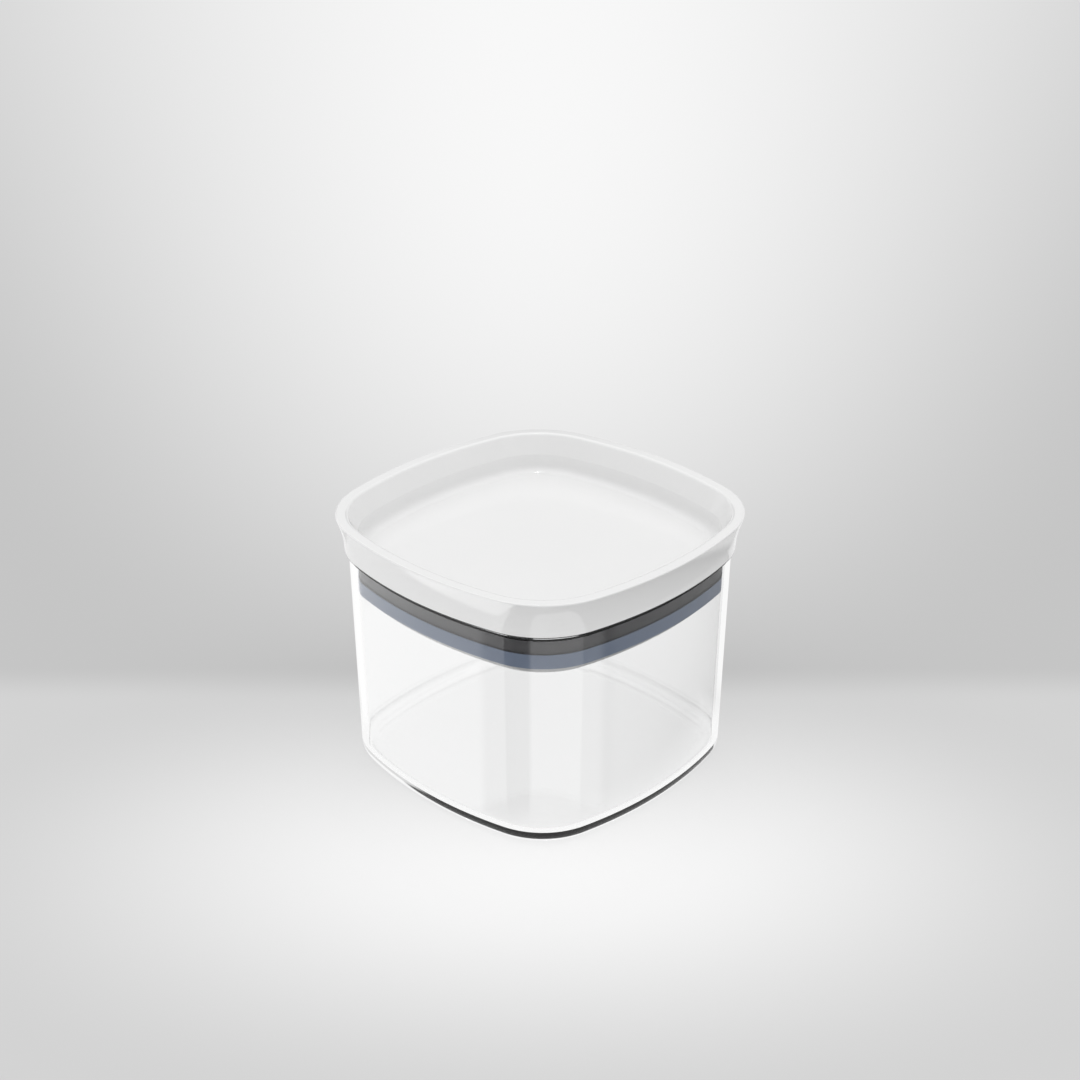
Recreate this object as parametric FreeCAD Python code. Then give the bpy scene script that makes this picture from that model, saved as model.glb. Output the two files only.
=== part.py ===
import FreeCAD, Part
import math
import os

from FreeCAD import Vector

# A square kitchen canister: a clear pot, a white push-in lid with a dished top, and a rubber seal on the lid's plug.
# Millimetres, +Z up, origin at the centre of the base. Every level outline is the pot's rim outline, a square with
# bowed sides and round corners, moved outwards (positive) or inwards (negative) by a distance called its offset.

# Pot: its outline at the rim, and its walls
POT_WIDTH = 101.0  # across the flats
SIDE_BOW_RADIUS = 124.5
CORNER_RADIUS = 24.5
POT_HEIGHT = 69.4
POT_DRAFT = 1.16  # degrees on each side
POT_WALL = 2.0
POT_FLOOR = 2.8
BASE_ROUNDING = 4.5
FLOOR_ROUNDING = 4.0
RIM_ROUNDING = 0.4

# Lid: the ledge that stands on the rim, and the skirt that flares out to the flat-topped lip
LEDGE_GAP = 0.3  # above the rim
LEDGE_WIDTH = 1.2  # beyond the plug's side
SKIRT_REVEAL = 0.6  # from the ledge up to the skirt's lower edge
SKIRT_OVERHANG = 1.2  # beyond the rim's outline
SKIRT_HEIGHT = 11.2  # from its lower edge to the lip's rounded edge
SKIRT_FLARE = 2.24
SKIRT_EDGE_ROUNDING = 0.4
LIP_WIDTH = 3.44
LIP_EDGE_ROUNDING = 0.4
LIP_INNER_ROUNDING = 1.2

# Lid: the dished top
TRAY_DEPTH = 11.89  # below the lip
FLARE_DEPTH = 6.34  # of the sloping upper wall, below the lip
TRAY_STEP = 0.57  # from the plug's side in to the foot of the sloping wall
TRAY_WALL_DRAFT = 8.0  # degrees, on the lower wall
TRAY_CREASE_ROUNDING = 0.5
TRAY_ROUNDING = 3.2
LID_FLOOR = 1.8

# Lid: the plug below the ledge
PLUG_GAP = 0.3  # to the pot's inside
PLUG_WALL = 2.2  # behind the seal
PLUG_INNER_ROUNDING = 1.0
PLUG_TIP = 2.3  # length below the seal
PLUG_TIP_ROUNDING = 1.2
PLUG_MOUTH_ROUNDING = 0.4

# Seal
SEAL_DROP = 1.5  # from the tray's floor down to the shoulder above the seal
SEAL_HEIGHT = 9.4
SEAL_THICKNESS = 1.5  # at its lip
SEAL_LIP_HEIGHT = 4.5
SEAL_CHANNEL = 0.7  # depth of the band above the lip
SEAL_RIB_DEPTH = 0.7  # of the rib on its inner face, which holds it in the plug's groove
SEAL_RIB_HEIGHT = 2.0
SEAL_GAP = 0.2  # from the lip to the pot's inside
SEAL_SEAT_GAP = 0.1  # between the seal and the plug
SEAL_ROUNDING = 0.3

# How far the flat floors reach outwards under their rings
FLOOR_LAP = 1.0

Z_AXIS = Vector(0, 0, 1)
ORIGIN = Vector(0, 0, 0)


def pot_outside(z):
    """Offset of the pot's outer face at a height."""
    return -(POT_HEIGHT - z) * math.tan(math.radians(POT_DRAFT))


def pot_inside(z):
    """Offset of the pot's inner face at a height."""
    return pot_outside(z) - POT_WALL


def plan_arcs():
    """The arcs of a quarter of the rim outline, as centre, radius, start angle and turn in degrees."""
    side_centre = POT_WIDTH / 2 - SIDE_BOW_RADIUS
    reach = SIDE_BOW_RADIUS - CORNER_RADIUS
    corner = (side_centre + math.sqrt(2 * reach**2 - side_centre**2)) / 2
    half_side = math.degrees(math.atan2(corner, corner - side_centre))
    side = (Vector(side_centre, 0, 0), SIDE_BOW_RADIUS, -half_side, 2 * half_side)
    round_corner = (Vector(corner, corner, 0), CORNER_RADIUS, half_side, 90 - 2 * half_side)
    return [side, round_corner]


def all_round(make):
    """What make(arc) gives for every arc of the outline, turned to the four sides."""
    shapes = []
    for quarter in range(4):
        for arc in plan_arcs():
            shape = make(arc)
            shape.rotate(ORIGIN, Z_AXIS, 90 * quarter)
            shapes.append(shape)
    return shapes


def ring(profile):
    """Carry a profile, a face drawn as offset and height, round the whole outline."""

    def stretch(arc):
        centre, radius, start, turn = arc
        section = profile.copy()
        section.translate(Vector(radius, 0, 0))
        solid = section.revolve(ORIGIN, Z_AXIS, turn)
        solid.rotate(ORIGIN, Z_AXIS, start)
        solid.translate(centre)
        return solid

    return all_round(stretch)


def slab(offset, bottom, top):
    """A flat floor whose edge is the outline at an offset."""

    def edge(arc):
        centre, radius, start, turn = arc
        return Part.makeCircle(radius + offset, centre, Z_AXIS, start, start + turn)

    outline = Part.Wire(Part.sortEdges(all_round(edge))[0])
    face = Part.Face(outline)
    face.translate(Vector(0, 0, bottom))
    return face.extrude(Vector(0, 0, top - bottom))


def join(solids):
    """Fuse touching solids into one moulding."""
    moulding = solids[0].multiFuse(solids[1:]).removeSplitter()
    return moulding.Solids[0]


def rounded_path(corners):
    """Edges through corners given as offset, height and rounding. The first and last are the path's ends."""
    points = [Vector(offset, 0, height) for offset, height, rounding in corners]
    edges = []
    here = points[0]
    for before, point, after, corner in zip(points, points[1:], points[2:], corners[1:]):
        rounding = corner[2]
        if rounding == 0:
            edges.append(Part.makeLine(here, point))
            here = point
            continue
        back = (before - point).normalize()
        ahead = (after - point).normalize()
        half_angle = back.getAngle(ahead) / 2
        inwards = (back + ahead).normalize()
        reach = rounding / math.tan(half_angle)
        middle = point + inwards * (rounding / math.sin(half_angle) - rounding)
        leave = point + ahead * reach
        edges.append(Part.makeLine(here, point + back * reach))
        edges.append(Part.Arc(point + back * reach, middle, leave).toShape())
        here = leave
    edges.append(Part.makeLine(here, points[-1]))
    return edges


def face_of(edges):
    return Part.Face(Part.Wire(edges))


def on_circle(centre, radius, angle):
    return centre + Vector(math.cos(angle), 0, math.sin(angle)) * radius


# Heights of the lid, up from the pot's rim and down through the plug
ledge_z = POT_HEIGHT + LEDGE_GAP
skirt_bottom_z = ledge_z + SKIRT_REVEAL
skirt_base_z = skirt_bottom_z + SKIRT_EDGE_ROUNDING
skirt_rise = SKIRT_HEIGHT - SKIRT_EDGE_ROUNDING
skirt_radius = (skirt_rise**2 + SKIRT_FLARE**2) / (2 * SKIRT_FLARE)
skirt_turn = math.asin(skirt_rise / skirt_radius)
skirt_centre = Vector(SKIRT_OVERHANG + skirt_radius, 0, skirt_base_z)
skirt_top = on_circle(skirt_centre, skirt_radius, math.pi - skirt_turn)
lip_centre = on_circle(skirt_centre, skirt_radius + LIP_EDGE_ROUNDING, math.pi - skirt_turn)
lip_z = lip_centre.z + LIP_EDGE_ROUNDING
tray_z = lip_z - TRAY_DEPTH
crease_z = lip_z - FLARE_DEPTH
shoulder_z = tray_z - SEAL_DROP
seal_top_z = shoulder_z - SEAL_SEAT_GAP
seal_bottom_z = seal_top_z - SEAL_HEIGHT
rib_top_z = (seal_top_z + seal_bottom_z + SEAL_RIB_HEIGHT) / 2
rib_bottom_z = rib_top_z - SEAL_RIB_HEIGHT
plug_bottom_z = seal_bottom_z - PLUG_TIP

# Offsets of the lip's inner edge, and of the plug, which clears the pot at its narrowest place
lip_inside = lip_centre.x + LIP_EDGE_ROUNDING - LIP_WIDTH
plug_side = pot_inside(shoulder_z) - PLUG_GAP
seal_outside = pot_inside(seal_bottom_z) - SEAL_GAP
seal_inside = seal_outside - SEAL_THICKNESS
seal_seat = seal_inside - SEAL_SEAT_GAP
plug_inside = seal_seat - PLUG_WALL
crease = plug_side - TRAY_STEP
tray_edge = crease - (crease_z - tray_z) * math.tan(math.radians(TRAY_WALL_DRAFT))


def canister_body():
    """The clear pot: walls with draft, a flat floor, and a rounded base edge."""
    floor_edge = min(pot_outside(0) - BASE_ROUNDING, pot_inside(POT_FLOOR) - FLOOR_ROUNDING) - FLOOR_LAP
    section = rounded_path([
        (floor_edge, 0, 0),
        (pot_outside(0), 0, BASE_ROUNDING),
        (0, POT_HEIGHT, RIM_ROUNDING),
        (-POT_WALL, POT_HEIGHT, RIM_ROUNDING),
        (pot_inside(POT_FLOOR), POT_FLOOR, FLOOR_ROUNDING),
        (floor_edge, POT_FLOOR, 0),
        (floor_edge, 0, 0),
    ])
    return join(ring(face_of(section)) + [slab(floor_edge, 0, POT_FLOOR)])


def skirt_and_edge():
    """The outer edges of the lid's wall: the concave skirt, then the rounded edge of the lip."""
    skirt_middle = on_circle(skirt_centre, skirt_radius, math.pi - skirt_turn / 2)
    edge_middle = on_circle(lip_centre, LIP_EDGE_ROUNDING, (math.pi / 2 - skirt_turn) / 2)
    skirt = Part.Arc(Vector(SKIRT_OVERHANG, 0, skirt_base_z), skirt_middle, skirt_top).toShape()
    edge = Part.Arc(skirt_top, edge_middle, Vector(lip_centre.x, 0, lip_z)).toShape()
    return [skirt, edge]


def lid():
    """The white lid: lip, skirt, dished top and hollow plug in one moulding."""
    floor_edge = min(tray_edge - TRAY_ROUNDING, plug_inside - PLUG_INNER_ROUNDING) - FLOOR_LAP
    underside_z = tray_z - LID_FLOOR
    inner_edges = rounded_path([
        (lip_centre.x, lip_z, 0),
        (lip_inside, lip_z, LIP_INNER_ROUNDING),
        (crease, crease_z, TRAY_CREASE_ROUNDING),
        (tray_edge, tray_z, TRAY_ROUNDING),
        (floor_edge, tray_z, 0),
        (floor_edge, underside_z, 0),
        (plug_inside, underside_z, PLUG_INNER_ROUNDING),
        (plug_inside, plug_bottom_z, PLUG_MOUTH_ROUNDING),
        (seal_seat, plug_bottom_z, PLUG_TIP_ROUNDING),
        (seal_seat, rib_bottom_z - SEAL_SEAT_GAP, 0),
        (seal_seat - SEAL_RIB_DEPTH, rib_bottom_z - SEAL_SEAT_GAP, 0),
        (seal_seat - SEAL_RIB_DEPTH, rib_top_z + SEAL_SEAT_GAP, 0),
        (seal_seat, rib_top_z + SEAL_SEAT_GAP, 0),
        (seal_seat, shoulder_z, 0),
        (plug_side, shoulder_z, 0),
        (plug_side, ledge_z, 0),
        (plug_side + LEDGE_WIDTH, ledge_z, 0),
        (plug_side + LEDGE_WIDTH, skirt_bottom_z, 0),
        (SKIRT_OVERHANG - SKIRT_EDGE_ROUNDING, skirt_bottom_z, 0),
    ])
    edge_middle = on_circle(
        Vector(SKIRT_OVERHANG - SKIRT_EDGE_ROUNDING, 0, skirt_base_z), SKIRT_EDGE_ROUNDING, -math.pi / 4
    )
    skirt_edge = Part.Arc(
        Vector(SKIRT_OVERHANG - SKIRT_EDGE_ROUNDING, 0, skirt_bottom_z),
        edge_middle,
        Vector(SKIRT_OVERHANG, 0, skirt_base_z),
    ).toShape()
    section = face_of(Part.sortEdges(inner_edges + [skirt_edge] + skirt_and_edge())[0])
    return join(ring(section) + [slab(floor_edge, underside_z, tray_z)])


def lid_seal():
    """The rubber ring on the plug: a fat lip below, a recessed band above it, and a rib inside."""
    lip_top = seal_bottom_z + SEAL_LIP_HEIGHT
    band = seal_outside - SEAL_CHANNEL
    rib = seal_inside - SEAL_RIB_DEPTH
    section = rounded_path([
        (seal_inside, seal_top_z, 0),
        (seal_inside, rib_top_z, 0),
        (rib, rib_top_z, 0),
        (rib, rib_bottom_z, 0),
        (seal_inside, rib_bottom_z, 0),
        (seal_inside, seal_bottom_z, 0),
        (seal_outside, seal_bottom_z, SEAL_ROUNDING),
        (seal_outside, lip_top, SEAL_ROUNDING),
        (band, lip_top, 0),
        (band, seal_top_z, 0),
        (seal_inside, seal_top_z, 0),
    ])
    return join(ring(face_of(section)))


os.makedirs("parts", exist_ok=True)
for name, piece in (("canister_body", canister_body()), ("lid", lid()), ("lid_seal", lid_seal())):
    piece.exportStep("parts/" + name + ".step")
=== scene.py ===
import math

import bpy
from mathutils import Matrix, Vector


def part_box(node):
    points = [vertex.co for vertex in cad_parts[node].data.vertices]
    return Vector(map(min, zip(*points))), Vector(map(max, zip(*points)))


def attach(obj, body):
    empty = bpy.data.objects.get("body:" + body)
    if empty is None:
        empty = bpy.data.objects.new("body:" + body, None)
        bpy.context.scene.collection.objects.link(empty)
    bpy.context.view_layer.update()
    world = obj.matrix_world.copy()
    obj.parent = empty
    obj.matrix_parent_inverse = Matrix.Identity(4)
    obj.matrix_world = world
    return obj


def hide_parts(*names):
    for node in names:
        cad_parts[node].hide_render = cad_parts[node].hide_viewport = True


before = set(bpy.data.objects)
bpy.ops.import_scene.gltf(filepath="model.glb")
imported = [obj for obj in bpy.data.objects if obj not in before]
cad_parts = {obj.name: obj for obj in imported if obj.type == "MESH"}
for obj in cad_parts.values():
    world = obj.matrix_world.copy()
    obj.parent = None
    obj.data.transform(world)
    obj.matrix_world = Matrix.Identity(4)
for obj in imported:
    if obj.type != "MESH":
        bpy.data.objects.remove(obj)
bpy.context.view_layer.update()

# Looks of a square kitchen canister: a clear pot, a glossy white push-in lid and a rubber seal on its plug.
# Metres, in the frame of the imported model. Every level outline is the pot's rim outline, a square with bowed
# sides and round corners, moved outwards (positive) or inwards (negative) by a distance called its offset.

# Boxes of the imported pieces
pot_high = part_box("canister_body")[1]
lid_low, lid_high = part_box("lid")
seal_low, seal_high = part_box("lid_seal")

# Outline at the rim
HALF_WIDTH = 0.0505
SIDE_BOW_RADIUS = 0.1245
CORNER_RADIUS = 0.0245

# Pot
POT_DRAFT = math.radians(1.16)
POT_WALL = 0.0020
POT_FLOOR = 0.0028
BASE_ROUNDING = 0.0045
FLOOR_ROUNDING = 0.0040
RIM_ROUNDING = 0.0004

# Lid
LEDGE_GAP = 0.0003
LEDGE_WIDTH = 0.0012
SKIRT_REVEAL = 0.0006
SKIRT_OVERHANG = 0.0012
SKIRT_EDGE_ROUNDING = 0.0004
LIP_WIDTH = 0.00344
LIP_EDGE_ROUNDING = 0.0004
LIP_INNER_ROUNDING = 0.0012
TRAY_DEPTH = 0.01189
FLARE_DEPTH = 0.00634
TRAY_STEP = 0.00057
TRAY_WALL_DRAFT = math.radians(8.0)
TRAY_CREASE_ROUNDING = 0.0005
TRAY_ROUNDING = 0.0032
LID_FLOOR = 0.0018
PLUG_GAP = 0.0003
PLUG_WALL = 0.0022
PLUG_INNER_ROUNDING = 0.0010
PLUG_TIP_ROUNDING = 0.0012
PLUG_MOUTH_ROUNDING = 0.0004

# Seal
SEAL_THICKNESS = 0.0015
SEAL_LIP_HEIGHT = 0.0045
SEAL_CHANNEL = 0.0007
SEAL_RIB_DEPTH = 0.0007
SEAL_RIB_HEIGHT = 0.0020
SEAL_SEAT_GAP = 0.0001
SEAL_ROUNDING = 0.0003
SHADE_BAND_EDGE = 0.0001  # height over which the lip's colour turns into the band's

# Fineness of the meshes
EDGE_BREAK = 0.00008  # the rounding of an edge that is sharp in the CAD model
FINE_TURN = math.radians(9)
COARSE_TURN = math.radians(30)
SIDE_STEPS = 16
CORNER_STEPS = 24

# Camera, as fitted to the photograph
CAMERA_TURN = math.radians(43.82)
CAMERA_PITCH = math.radians(26.26)
CAMERA_DISTANCE = 0.56176
CAMERA_LENS = 62.9
CAMERA_SENSOR = 36.0
AIM_BELOW_LIP = 0.00934
AIM_RIGHT = -0.00008

# Floor: a painted pool of light round the object, and behind a line the ground that a backdrop would be
FLOOR_DROP = 0.0002
FLOOR_HALF = 4.0
POOL_CENTRE = -0.058  # counted backwards from the middle of the object, so in front of it
POOL_REACH = (0.189, 0.117)  # across the view and along it
POOL_LEVELS = (0.65, 1.0)
BACK_LINE = (0.026, 0.049)
BACK_LEVELS = (0.557, 0.935)
BACK_RISE = 0.17
BACK_REACH = (0.16, 0.57)  # half width on the axis, and its growth with the distance behind
FLOOR_GREY = 0.76
GLOW_SHARE = 0.75  # of the floor's look that no shadow darkens
CLEAR_SHARE = 0.92  # the same where it is seen through the pot
CLEAR_LEVELS = (0.975, 0.95)  # seen through the pot, below it and beside it
MIRROR_REACH = 0.02  # how far beside the pot the floor still shows in what it mirrors

# Painted shade along the pot's rim, a dark line standing in for the shadow in the gap under the lid: its
# depth, and how far a face there has to look outwards
RIM_SHADE_LINE = 0.0005
RIM_SHADE_FACING = 0.004

# Painted shade along the skirt's lower edge, a dark line standing in for the shadow in the gap over the pot's
# rim: its middle above the edge and half its height, then how far its faces look up, as the middle and half of
# a range that leaves out the flat underside and the tray
EDGE_SHADE_LINE = (0.0002, 0.00024)
EDGE_SHADE_FACING = (-0.34, 0.64)

to_camera = Vector((math.sin(CAMERA_TURN), -math.cos(CAMERA_TURN), 0))
to_right = Vector((math.cos(CAMERA_TURN), math.sin(CAMERA_TURN), 0))


def plan_stations():
    """Points of the rim outline, each with the outward direction there, once round the square."""
    side_centre = HALF_WIDTH - SIDE_BOW_RADIUS
    reach = SIDE_BOW_RADIUS - CORNER_RADIUS
    corner = (side_centre + math.sqrt(2 * reach**2 - side_centre**2)) / 2
    half_side = math.atan2(corner, corner - side_centre)
    side = (Vector((side_centre, 0)), SIDE_BOW_RADIUS, -half_side, 2 * half_side, SIDE_STEPS)
    turn = (Vector((corner, corner)), CORNER_RADIUS, half_side, math.pi / 2 - 2 * half_side, CORNER_STEPS)
    stations = []
    for quarter in range(4):
        spin = Matrix.Rotation(quarter * math.pi / 2, 2)
        for centre, radius, start, sweep, steps in (side, turn):
            for step in range(steps):
                angle = start + sweep * step / steps
                outward = Vector((math.cos(angle), math.sin(angle)))
                stations.append((spin @ (centre + outward * radius), spin @ outward))
    return stations


def arc(centre, radius, start, end, hollow=False):
    """Points of a section along an arc, as (place, outward normal).

    A hollow arc has its centre outside the body.
    """
    step_turn = FINE_TURN if radius > SEAL_ROUNDING else COARSE_TURN
    steps = math.ceil(abs(end - start) / step_turn)
    side = -1 if hollow else 1
    points = []
    for step in range(steps + 1):
        angle = start + (end - start) * step / steps
        radial = Vector((math.cos(angle), math.sin(angle)))
        points.append((centre + radial * radius, radial * side))
    return points


def angle_of(direction):
    return math.atan2(direction.y, direction.x)


def outward_of(direction):
    """The outward normal of a section that runs along a direction with the body on its left."""
    return Vector((direction.y, -direction.x))


def rounded(corners):
    """Points of a section through corners given as (offset, height, rounding), with the body on the left."""
    places = [Vector(corner[:2]) for corner in corners]
    points = [(places[0], outward_of((places[1] - places[0]).normalized()))]
    for before, place, after, corner in zip(places, places[1:], places[2:], corners[1:]):
        arrive = (place - before).normalized()
        leave = (after - place).normalized()
        turn = math.atan2(arrive.x * leave.y - arrive.y * leave.x, arrive.dot(leave))
        radius = max(corner[2], EDGE_BREAK)
        start = place - arrive * radius * math.tan(abs(turn) / 2)
        hollow = turn < 0
        radial = outward_of(arrive) * (-1 if hollow else 1)
        first = angle_of(radial)
        points += arc(start - radial * radius, radius, first, first + turn, hollow)
    points.append((places[-1], outward_of((places[-1] - places[-2]).normalized())))
    return points


def moulding(name, section, closed=False):
    """Carry a section round the outline as one watertight mesh with exact normals.

    An open section gets two floors.
    """
    stations = plan_stations()
    rows = len(section)
    vertices = []
    normals = []
    for foot, outward in stations:
        for (offset, height), (side, up) in section:
            vertices.append((*(foot + outward * offset), height))
            normals.append((*(outward * side), up))
    faces = []
    for station in range(len(stations)):
        here = station * rows
        there = (station + 1) % len(stations) * rows
        for row in range(rows if closed else rows - 1):
            after = (row + 1) % rows
            faces.append((here + row, there + row, there + after, here + after))
    if not closed:
        first_ring = range(0, len(vertices), rows)
        faces.append(list(reversed(first_ring)))
        faces.append([first + rows - 1 for first in first_ring])
    mesh = bpy.data.meshes.new(name)
    mesh.from_pydata(vertices, [], faces)
    mesh.shade_smooth()
    mesh.normals_split_custom_set_from_vertices(normals)
    piece = bpy.data.objects.new(name, mesh)
    bpy.context.scene.collection.objects.link(piece)
    return piece


def pot_outside(z):
    """Offset of the pot's outer face at a height."""
    return -(pot_high.z - z) * math.tan(POT_DRAFT)


def pot_inside(z):
    """Offset of the pot's inner face at a height."""
    return pot_outside(z) - POT_WALL


def pot_section():
    floor_edge = pot_inside(POT_FLOOR) - 2 * FLOOR_ROUNDING
    return rounded([
        (floor_edge, 0, 0),
        (pot_outside(0), 0, BASE_ROUNDING),
        (0, pot_high.z, RIM_ROUNDING),
        (-POT_WALL, pot_high.z, RIM_ROUNDING),
        (pot_inside(POT_FLOOR), POT_FLOOR, FLOOR_ROUNDING),
        (floor_edge, POT_FLOOR, 0),
    ])


# Heights and offsets of the lid and its seal
ledge_z = pot_high.z + LEDGE_GAP
skirt_bottom_z = ledge_z + SKIRT_REVEAL
lip_z = lid_high.z
lip_outside = lid_high.x - HALF_WIDTH
lip_inside = lip_outside - LIP_WIDTH
lip_centre = Vector((lip_outside - LIP_EDGE_ROUNDING, lip_z - LIP_EDGE_ROUNDING))
tray_z = lip_z - TRAY_DEPTH
crease_z = lip_z - FLARE_DEPTH
shoulder_z = seal_high.z + SEAL_SEAT_GAP
plug_side = pot_inside(shoulder_z) - PLUG_GAP
seal_outside = seal_high.x - HALF_WIDTH
seal_inside = seal_outside - SEAL_THICKNESS
seal_lip_top = seal_low.z + SEAL_LIP_HEIGHT
rib_top_z = (seal_low.z + seal_high.z + SEAL_RIB_HEIGHT) / 2
rib_bottom_z = rib_top_z - SEAL_RIB_HEIGHT
seal_seat = seal_inside - SEAL_SEAT_GAP
plug_inside = seal_seat - PLUG_WALL
crease = plug_side - TRAY_STEP
tray_edge = crease - (crease_z - tray_z) * math.tan(TRAY_WALL_DRAFT)


def skirt_and_edge():
    """The concave skirt, upright at its foot, and the rounded edge of the lip that it runs into."""
    foot = Vector((SKIRT_OVERHANG, skirt_bottom_z + SKIRT_EDGE_ROUNDING))
    out = foot.x - lip_centre.x
    rise = lip_centre.y - foot.y
    radius = (out**2 + rise**2 - LIP_EDGE_ROUNDING**2) / (2 * (LIP_EDGE_ROUNDING - out))
    centre = foot + Vector((radius, 0))
    turn = angle_of(lip_centre - centre) - math.pi
    skirt = arc(centre, radius, math.pi, math.pi + turn, hollow=True)
    edge = arc(lip_centre, LIP_EDGE_ROUNDING, turn, math.pi / 2)
    return skirt + edge[1:]


def lid_section():
    underside_z = tray_z - LID_FLOOR
    floor_edge = plug_inside - 2 * PLUG_INNER_ROUNDING
    tray_floor_edge = tray_edge - 2 * TRAY_ROUNDING
    below = rounded([
        (floor_edge, underside_z, 0),
        (plug_inside, underside_z, PLUG_INNER_ROUNDING),
        (plug_inside, lid_low.z, PLUG_MOUTH_ROUNDING),
        (seal_seat, lid_low.z, PLUG_TIP_ROUNDING),
        (seal_seat, rib_bottom_z - SEAL_SEAT_GAP, 0),
        (seal_seat - SEAL_RIB_DEPTH, rib_bottom_z - SEAL_SEAT_GAP, 0),
        (seal_seat - SEAL_RIB_DEPTH, rib_top_z + SEAL_SEAT_GAP, 0),
        (seal_seat, rib_top_z + SEAL_SEAT_GAP, 0),
        (seal_seat, shoulder_z, 0),
        (plug_side, shoulder_z, 0),
        (plug_side, ledge_z, 0),
        (plug_side + LEDGE_WIDTH, ledge_z, 0),
        (plug_side + LEDGE_WIDTH, skirt_bottom_z, 0),
        (SKIRT_OVERHANG, skirt_bottom_z, SKIRT_EDGE_ROUNDING),
        (SKIRT_OVERHANG, skirt_bottom_z + SKIRT_EDGE_ROUNDING, 0),
    ])
    above = rounded([
        (lip_centre.x, lip_z, 0),
        (lip_inside, lip_z, LIP_INNER_ROUNDING),
        (crease, crease_z, TRAY_CREASE_ROUNDING),
        (tray_edge, tray_z, TRAY_ROUNDING),
        (tray_floor_edge, tray_z, 0),
    ])
    return below[:-1] + skirt_and_edge()[1:] + above[1:]


def seal_section():
    band = seal_outside - SEAL_CHANNEL
    rib = seal_inside - SEAL_RIB_DEPTH
    loop = rounded([
        (rib, (rib_bottom_z + rib_top_z) / 2, 0),
        (rib, rib_bottom_z, 0),
        (seal_inside, rib_bottom_z, 0),
        (seal_inside, seal_low.z, 0),
        (seal_outside, seal_low.z, SEAL_ROUNDING),
        (seal_outside, seal_lip_top, SEAL_ROUNDING),
        (band, seal_lip_top, 0),
        (band, seal_high.z, 0),
        (seal_inside, seal_high.z, 0),
        (seal_inside, rib_top_z, 0),
        (rib, rib_top_z, 0),
        (rib, (rib_bottom_z + rib_top_z) / 2, 0),
    ])
    return loop[:-1]


def node(tree, kind, inputs=None, **settings):
    """Add a shader node. An input's value is a constant or the socket that feeds it."""
    made = tree.nodes.new("ShaderNode" + kind)
    for name, value in settings.items():
        setattr(made, name, value)
    for name, value in (inputs or {}).items():
        if isinstance(value, bpy.types.NodeSocket):
            tree.links.new(value, made.inputs[name])
        else:
            made.inputs[name].default_value = value
    return made


def calc(tree, operation, *values):
    """The output of a Math node."""
    return node(tree, "Math", dict(enumerate(values)), operation=operation).outputs[0]


def mix(tree, share, first, second):
    """A mix of two shaders, with the share of the second."""
    return node(tree, "MixShader", {0: share, 1: first.outputs[0], 2: second.outputs[0]})


def grey(level):
    """A neutral colour."""
    return level, level, level, 1


def blank_material(name):
    material = bpy.data.materials.new(name)
    material.use_nodes = True
    material.node_tree.nodes.clear()
    return material, material.node_tree


def along(tree, direction, axis):
    """The part of a direction along an axis."""
    return node(tree, "VectorMath", {0: direction, 1: axis}, operation="DOT_PRODUCT").outputs["Value"]


def clear_plastic():
    """Clear plastic, with a painted shade line along the rim's outer edge.

    A ray that is mirrored in the near wall then leaves it straight, so that none is lost inside the wall.
    """
    material, tree = blank_material("clear_plastic")
    place = node(tree, "TexCoord").outputs["Object"]
    wave = node(tree, "TexNoise", {"Vector": place, "Scale": 40.0, "Detail": 2.0})
    film = node(tree, "TexNoise", {"Vector": place, "Scale": 160.0, "Detail": 4.0})
    roughness = node(tree, "MapRange", {"Value": film.outputs[0], "From Min": 0.3, "From Max": 0.7,
                                        "To Min": 0.0, "To Max": 0.012})
    bump = node(tree, "Bump", {"Height": wave.outputs[0], "Strength": 0.02, "Distance": 0.0005})
    height = node(tree, "SeparateXYZ", {0: place}).outputs["Z"]
    level_place = node(tree, "VectorMath", {0: place, 1: (1, 1, 0)}, operation="MULTIPLY").outputs[0]
    facing_out = along(tree, node(tree, "NewGeometry").outputs["Normal"], level_place)
    # Painted shade: the rim's outer edge is coloured near black for the shadow in the gap under the lid.
    at_rim = calc(tree, "GREATER_THAN", height, pot_high.z - RIM_SHADE_LINE)
    painted_rim_shade = calc(tree, "MULTIPLY", at_rim, calc(tree, "GREATER_THAN", facing_out, RIM_SHADE_FACING))
    tone = node(tree, "MixRGB", {0: painted_rim_shade, 1: (0.996, 0.997, 0.997, 1), 2: grey(0.0005)})
    body = node(tree, "BsdfPrincipled", {
        "Base Color": tone.outputs[0],
        "Roughness": roughness.outputs[0],
        "IOR": 1.52,
        "Transmission Weight": 1.0,
        "Normal": bump.outputs[0],
    })
    rays = node(tree, "LightPath")
    passed = node(tree, "BsdfTransparent", {"Color": grey(0.75)})
    lamps = mix(tree, rays.outputs["Is Shadow Ray"], body, passed)
    bounced = mix(tree, rays.outputs["Is Diffuse Ray"], lamps, passed)
    gone = node(tree, "BsdfTransparent")
    in_near_wall = calc(tree, "LESS_THAN", rays.outputs["Transmission Depth"], 2.5)
    caught = calc(tree, "MULTIPLY", rays.outputs["Glossy Depth"], in_near_wall)
    guided = mix(tree, caught, bounced, gone)
    node(tree, "OutputMaterial", {"Surface": guided.outputs[0]})
    return material


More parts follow.
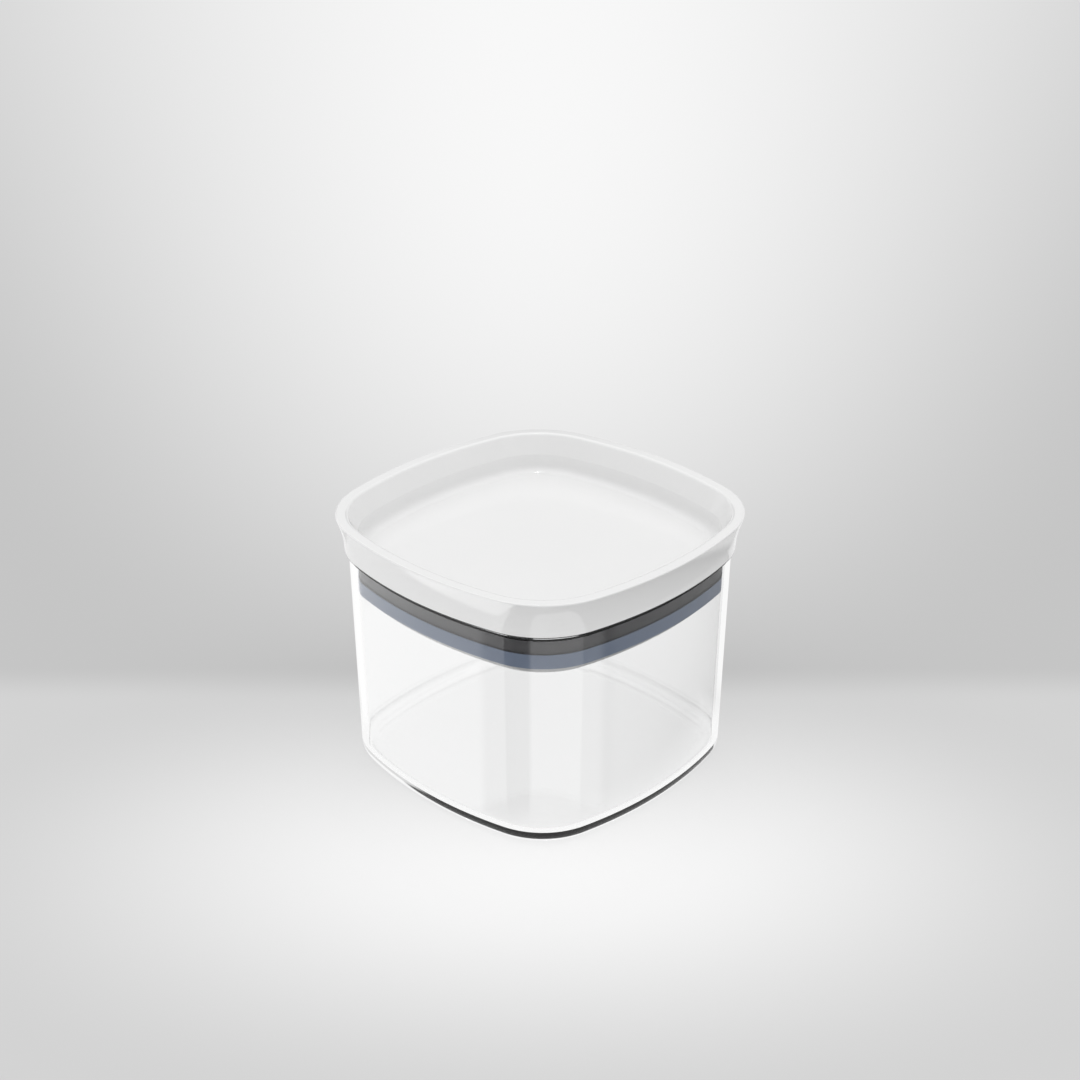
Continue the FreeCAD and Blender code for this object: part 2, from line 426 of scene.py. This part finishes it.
def white_plastic():
    """Glossy white plastic, with painted shade along the skirt's lower edge, where the reveal begins."""
    material, tree = blank_material("white_plastic")
    place = node(tree, "TexCoord").outputs["Object"]
    height = node(tree, "SeparateXYZ", {0: place}).outputs["Z"]
    facing_up = node(tree, "SeparateXYZ", {0: node(tree, "NewGeometry").outputs["Normal"]}).outputs["Z"]
    # Painted shade: a band at the skirt's lower edge is coloured near black for the shadow in the gap over the
    # pot's rim.
    at_edge = calc(tree, "COMPARE", height, skirt_bottom_z + EDGE_SHADE_LINE[0], EDGE_SHADE_LINE[1])
    painted_edge_shade = calc(tree, "MULTIPLY", at_edge, calc(tree, "COMPARE", facing_up, *EDGE_SHADE_FACING))
    cloud = node(tree, "TexNoise", {"Vector": place, "Scale": 60.0, "Detail": 3.0})
    grain = node(tree, "TexNoise", {"Vector": place, "Scale": 1800.0, "Detail": 2.0})
    tone = node(tree, "MixRGB", {0: cloud.outputs[0], 1: grey(0.85), 2: (0.87, 0.87, 0.868, 1)})
    edge_shaded = node(tree, "MixRGB", {0: painted_edge_shade, 1: tone.outputs[0], 2: grey(0.01)})
    roughness = node(tree, "MapRange", {"Value": cloud.outputs[0], "From Min": 0.3, "From Max": 0.7,
                                        "To Min": 0.03, "To Max": 0.05})
    bump = node(tree, "Bump", {"Height": grain.outputs[0], "Strength": 0.02, "Distance": 0.00002})
    body = node(tree, "BsdfPrincipled", {
        "Base Color": edge_shaded.outputs[0],
        "Roughness": roughness.outputs[0],
        "IOR": 1.68,
        "Normal": bump.outputs[0],
    })
    node(tree, "OutputMaterial", {"Surface": body.outputs[0]})
    return material


def seal_rubber():
    """Satin blue-grey rubber, with painted shade in the recessed band above the lip."""
    material, tree = blank_material("seal_rubber")
    place = node(tree, "TexCoord").outputs["Object"]
    height = node(tree, "SeparateXYZ", {0: place}).outputs["Z"]
    # Painted shade: the recessed band above the lip is coloured dark grey for the shade it lies in, under the
    # lid's ledge behind the pot's wall.
    band = node(tree, "MapRange", {"Value": height, "From Min": seal_lip_top - SHADE_BAND_EDGE,
                                   "From Max": seal_lip_top})
    cloud = node(tree, "TexNoise", {"Vector": place, "Scale": 300.0, "Detail": 3.0})
    blue = node(tree, "MixRGB", {0: cloud.outputs[0], 1: (0.255, 0.311, 0.426, 1),
                                 2: (0.28, 0.341, 0.467, 1)})
    tone = node(tree, "MixRGB", {0: band.outputs[0], 1: blue.outputs[0], 2: (0.13, 0.13, 0.136, 1)})
    roughness = node(tree, "MapRange", {"Value": cloud.outputs[0], "From Min": 0.3, "From Max": 0.7,
                                        "To Min": 0.42, "To Max": 0.55})
    bump = node(tree, "Bump", {"Height": cloud.outputs[0], "Strength": 0.1, "Distance": 0.0001})
    body = node(tree, "BsdfPrincipled", {
        "Base Color": tone.outputs[0],
        "Roughness": roughness.outputs[0],
        "Normal": bump.outputs[0],
    })
    node(tree, "OutputMaterial", {"Surface": body.outputs[0]})
    return material


# Soft boxes as seen from the object, in degrees: the turn of the middle from the camera towards its right,
# half the width, the lower and upper edges, the rounding of the corners and the blur of the edges. Last is
# the level. Those below the floor show only in what the gloss mirrors, because mirrored rays look past the
# floor. The dark flag is given in the same way, without a level.
SOFT_BOXES = (
    (-102, 48, -64, 8, 12, 1.5, 1.0),
    (-106, 44, -76, -46, 12, 4, 1.9),
    (20.5, 36.5, -64, 32, 14, 1.5, 0.82),
    (105, 45, -31.5, 0, 6, 2, 0.3),
    (118, 20, -23.5, -12, 2, 1.5, 0.95),
    (180, 48, -32, 18, 3, 1.5, 0.95),
    (180, 40, -50, -20, 3, 10, 0.95),
)
DARK_FLAG = (186, 27, 7, 23.2, 8, 0.8)
SKY_RISE = (math.radians(20), math.radians(75))  # heights between which the sky brightens
SIDE_LEVEL = 0.68
TOP_LEVEL = 1.385
BACKDROP_LEVEL = 0.75

# Lamps: the turn from the camera and the height in degrees, the distance, the size and the power
KEY_LAMP = (180, 71, 1.5, 0.13, 0.6)
FILL_LAMP = (-80, -0.5, 1.5, 0.1, 1.7)


def ramp(tree, value, start, end, low, high):
    """A smooth step from one level to another."""
    limits = {"From Min": start, "From Max": end, "To Min": low, "To Max": high}
    return node(tree, "MapRange", {"Value": value, **limits}, interpolation_type="SMOOTHSTEP").outputs[0]


def soft_box(tree, direction, box):
    """How much of a soft box lies in a direction: 0 to 1."""
    middle, half_width, bottom, top, rounding, blur = (math.radians(value) for value in box[:6])
    facing = to_camera * math.cos(middle) + to_right * math.sin(middle)
    aside = along(tree, direction, facing.cross((0, 0, 1)))
    turn = calc(tree, "ARCTAN2", aside, along(tree, direction, facing))
    height = calc(tree, "ARCSINE", along(tree, direction, (0, 0, 1)))
    spans = []
    for value, centre, half in ((turn, 0.0, half_width), (height, (bottom + top) / 2, (top - bottom) / 2)):
        from_middle = calc(tree, "ABSOLUTE", calc(tree, "SUBTRACT", value, centre))
        past_edge = calc(tree, "SUBTRACT", from_middle, half - rounding)
        spans.append(calc(tree, "POWER", calc(tree, "MAXIMUM", past_edge, 0.0), 2.0))
    distance = calc(tree, "SUBTRACT", calc(tree, "SQRT", calc(tree, "ADD", *spans)), rounding)
    return ramp(tree, distance, -blur, blur, 1.0, 0.0)


def studio_world():
    """Soft light from the whole sky, brightest overhead, and tall soft boxes that the gloss mirrors.

    Looked at straight or through the pot, it is a plain pale backdrop.
    """
    world = bpy.data.worlds.new("studio")
    bpy.context.scene.world = world
    world.use_nodes = True
    tree = world.node_tree
    tree.nodes.clear()
    direction = node(tree, "TexCoord").outputs["Generated"]
    height = calc(tree, "ARCSINE", along(tree, direction, (0, 0, 1)))
    sky = ramp(tree, height, *SKY_RISE, SIDE_LEVEL, TOP_LEVEL)
    level = calc(tree, "MULTIPLY", sky, calc(tree, "GREATER_THAN", height, 0.0))
    for box in SOFT_BOXES:
        lit = calc(tree, "MULTIPLY", soft_box(tree, direction, box), box[6])
        level = calc(tree, "MAXIMUM", level, lit)
    level = calc(tree, "MULTIPLY", level, calc(tree, "SUBTRACT", 1.0, soft_box(tree, direction, DARK_FLAG)))
    studio = node(tree, "Background", {"Color": grey(1), "Strength": level})
    plain = node(tree, "Background", {"Color": grey(BACKDROP_LEVEL), "Strength": 1.0})
    rays = node(tree, "LightPath")
    looked_at = calc(tree, "MAXIMUM", rays.outputs["Is Camera Ray"], rays.outputs["Is Transmission Ray"])
    node(tree, "OutputWorld", {"Surface": mix(tree, looked_at, studio, plain).outputs[0]})


def lamp(name, settings, mirrored):
    """A square lamp aimed at the object. One that isn't mirrored gives no highlight."""
    turn, height, distance, size, power = settings
    level = to_camera * math.cos(math.radians(turn)) + to_right * math.sin(math.radians(turn))
    towards = level * math.cos(math.radians(height)) + Vector((0, 0, math.sin(math.radians(height))))
    data = bpy.data.lights.new(name, "AREA")
    data.size = size
    data.energy = power
    made = bpy.data.objects.new(name, data)
    made.location = Vector((0, 0, skirt_bottom_z)) + towards * distance
    made.rotation_euler = towards.to_track_quat("Z", "Y").to_euler()
    made.visible_glossy = mirrored
    bpy.context.scene.collection.objects.link(made)


def floor_tone(tree):
    """The level of the floor as the camera sees it."""
    place = node(tree, "TexCoord").outputs["Object"]
    across = along(tree, place, to_right)
    behind = along(tree, place, -to_camera)
    pool_across = calc(tree, "DIVIDE", across, POOL_REACH[0])
    pool_behind = calc(tree, "DIVIDE", calc(tree, "SUBTRACT", behind, POOL_CENTRE), POOL_REACH[1])
    squares = [calc(tree, "MULTIPLY", value, value) for value in (pool_across, pool_behind)]
    from_pool = calc(tree, "SQRT", calc(tree, "ADD", *squares))
    pool = ramp(tree, from_pool, 0.0, 1.0, POOL_LEVELS[1], POOL_LEVELS[0])
    past_line = calc(tree, "MAXIMUM", calc(tree, "SUBTRACT", behind, BACK_LINE[1]), 0.0)
    fade = calc(tree, "EXPONENT", calc(tree, "DIVIDE", past_line, -BACK_RISE))
    reach = calc(tree, "MULTIPLY_ADD", past_line, BACK_REACH[1], BACK_REACH[0])
    aside = ramp(tree, calc(tree, "DIVIDE", calc(tree, "ABSOLUTE", across), reach), 0.0, 1.0, 1.0, 0.0)
    lit = calc(tree, "MULTIPLY", calc(tree, "SUBTRACT", 1.0, fade), aside)
    backdrop = calc(tree, "MULTIPLY_ADD", lit, BACK_LEVELS[1] - BACK_LEVELS[0], BACK_LEVELS[0])
    is_back = ramp(tree, behind, *BACK_LINE, 0.0, 1.0)
    step = calc(tree, "SUBTRACT", backdrop, pool)
    return calc(tree, "MULTIPLY_ADD", step, is_back, pool)


def studio_floor():
    """A pale floor, with a painted pool of light round the object.

    The clear pot shows it plain, and mirrored rays look past it.
    """
    mesh = bpy.data.meshes.new("floor")
    corners = [(-1, -1), (1, -1), (1, 1), (-1, 1)]
    places = [(x * FLOOR_HALF, y * FLOOR_HALF, -FLOOR_DROP) for x, y in corners]
    mesh.from_pydata(places, [], [(0, 1, 2, 3)])
    floor = bpy.data.objects.new("floor", mesh)
    bpy.context.scene.collection.objects.link(floor)
    material, tree = blank_material("pale_floor")
    tone = floor_tone(tree)
    plain = node(tree, "BsdfDiffuse", {"Color": grey(FLOOR_GREY)})
    shaded = node(tree, "BsdfDiffuse", {"Color": tone})
    glow = node(tree, "Emission", {"Color": tone, "Strength": 1.0})
    away = node(tree, "BsdfTransparent")
    rays = node(tree, "LightPath")
    seen = mix(tree, GLOW_SHARE, shaded, glow)
    place = node(tree, "SeparateXYZ", {0: node(tree, "TexCoord").outputs["Object"]})
    from_axes = [calc(tree, "ABSOLUTE", place.outputs[axis]) for axis in ("X", "Y")]
    from_middle = calc(tree, "MAXIMUM", *from_axes)
    clear_of_pot = calc(tree, "GREATER_THAN", from_middle, HALF_WIDTH)
    below, beside = CLEAR_LEVELS
    white = calc(tree, "MULTIPLY_ADD", clear_of_pot, beside - below, below)
    under_pot = node(tree, "Emission", {"Color": white, "Strength": 1.0})
    through = mix(tree, CLEAR_SHARE, plain, under_pot)
    mirrored = calc(tree, "GREATER_THAN", rays.outputs["Glossy Depth"], 0.5)
    fading = ramp(tree, from_middle, HALF_WIDTH, HALF_WIDTH + MIRROR_REACH, 0.0, 1.0)
    looks_past = calc(tree, "MULTIPLY", mirrored, fading)
    in_plastic = calc(tree, "MAXIMUM", rays.outputs["Is Transmission Ray"], mirrored)
    shader = mix(tree, rays.outputs["Is Camera Ray"], plain, seen)
    shader = mix(tree, in_plastic, shader, through)
    shader = mix(tree, looks_past, shader, away)
    node(tree, "OutputMaterial", {"Surface": shader.outputs[0]})
    mesh.materials.append(material)


def camera():
    """The photograph's view: down on one corner of the lid."""
    forward = -to_camera * math.cos(CAMERA_PITCH) - Vector((0, 0, math.sin(CAMERA_PITCH)))
    up = to_right.cross(forward)
    aim = Vector((0, 0, lip_z)) - up * AIM_BELOW_LIP + to_right * AIM_RIGHT
    place = aim - forward * CAMERA_DISTANCE
    data = bpy.data.cameras.new("camera")
    data.lens = CAMERA_LENS
    data.sensor_width = CAMERA_SENSOR
    data.clip_start = 0.01
    made = bpy.data.objects.new("camera", data)
    axes = Matrix((to_right, up, -forward)).transposed()
    made.matrix_world = Matrix.Translation(place) @ axes.to_4x4()
    bpy.context.scene.collection.objects.link(made)
    bpy.context.scene.camera = made


def finish_piece(piece, body, node_name, material):
    piece.data.materials.append(material)
    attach(piece, body)
    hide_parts(node_name)


pot = moulding("pot", pot_section())
push_lid = moulding("push_lid", lid_section())
seal_ring = moulding("seal_ring", seal_section(), closed=True)
finish_piece(pot, "canister", "canister_body", clear_plastic())
finish_piece(push_lid, "lid", "lid", white_plastic())
finish_piece(seal_ring, "lid", "lid_seal", seal_rubber())

studio_world()
lamp("key", KEY_LAMP, mirrored=True)
lamp("fill", FILL_LAMP, mirrored=False)
studio_floor()
camera()
bpy.context.scene.view_settings.view_transform = "Standard"
